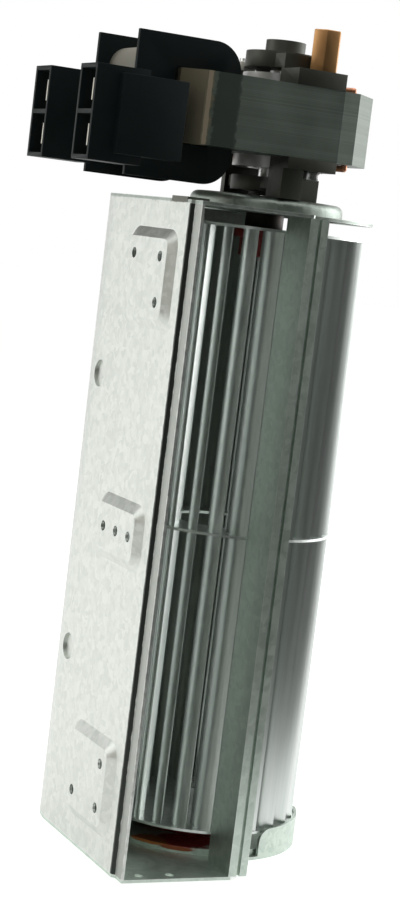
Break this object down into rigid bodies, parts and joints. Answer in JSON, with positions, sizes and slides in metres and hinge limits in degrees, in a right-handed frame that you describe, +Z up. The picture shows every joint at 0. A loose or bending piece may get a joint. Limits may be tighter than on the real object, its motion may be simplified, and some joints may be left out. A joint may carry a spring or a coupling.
{
  "type": "cross flow fan",
  "caption": "Cross flow fan: galvanised sheet casing with a bladed impeller on an upright axis and a shaded-pole motor on top.",
  "frame": {"origin": "on the impeller axis, in the plane of the bearing end plate's underside", "axes": "+Z up along the impeller axis towards the motor, -Y out of the outlet mouth, -X out of the flat wall with the fixing pads"},
  "size_m": [0.1054, 0.0906, 0.2551],
  "materials": {
    "galvanised_sheet": "satin",
    "impeller_sheet": "satin",
    "lamination_steel": "satin",
    "black_plastic": "matte",
    "coil_copper": "satin",
    "cream_tape": "matte",
    "tinned_brass": "satin",
    "copper": "satin",
    "bracket_casting": "satin",
    "red_rubber": "matte",
    "dark_steel": "satin",
    "bright_steel": "satin",
    "sintered_bronze": "satin",
    "cage_aluminium": "satin",
    "brass": "satin"
  },
  "bodies": {
    "casing": {"scroll_casing": "galvanised_sheet", "tongue_wall": "galvanised_sheet", "bearing_end_plate": "galvanised_sheet", "motor_end_plate": "galvanised_sheet", "end_bearing_rubber": "red_rubber", "end_bearing": "sintered_bronze", "stator_frame": "lamination_steel", "stator_leg": "lamination_steel", "shading_rings": "copper", "coil_bobbin": "black_plastic", "coil_winding": "coil_copper", "coil_tape": "cream_tape", "spade_terminals": "tinned_brass", "lower_bracket": "bracket_casting", "upper_bracket": "bracket_casting", "motor_bearings": "sintered_bronze", "stator_bolts": "bright_steel", "hex_standoff": "brass", "bolt_nut": "bright_steel", "mounting_screws": "bright_steel"},
    "impeller": {"impeller_blades": "impeller_sheet", "impeller_middle_disc": "impeller_sheet", "impeller_motor_disc": "impeller_sheet", "impeller_bearing_disc": "impeller_sheet", "rubber_hub": "red_rubber", "hub_collar": "dark_steel", "motor_shaft": "bright_steel", "rotor_core": "lamination_steel", "rotor_cage": "cage_aluminium", "thrust_spacers": "bright_steel", "stub_shaft": "bright_steel", "end_hub": "bright_steel", "end_washer": "bright_steel"}
  },
  "joints": [
    {"name": "impeller_spin", "type": "hinge", "parent": "casing", "child": "impeller", "pos_m": [0, 0, 0], "axis": [0, 0, 1], "continuous": true}
  ]
}
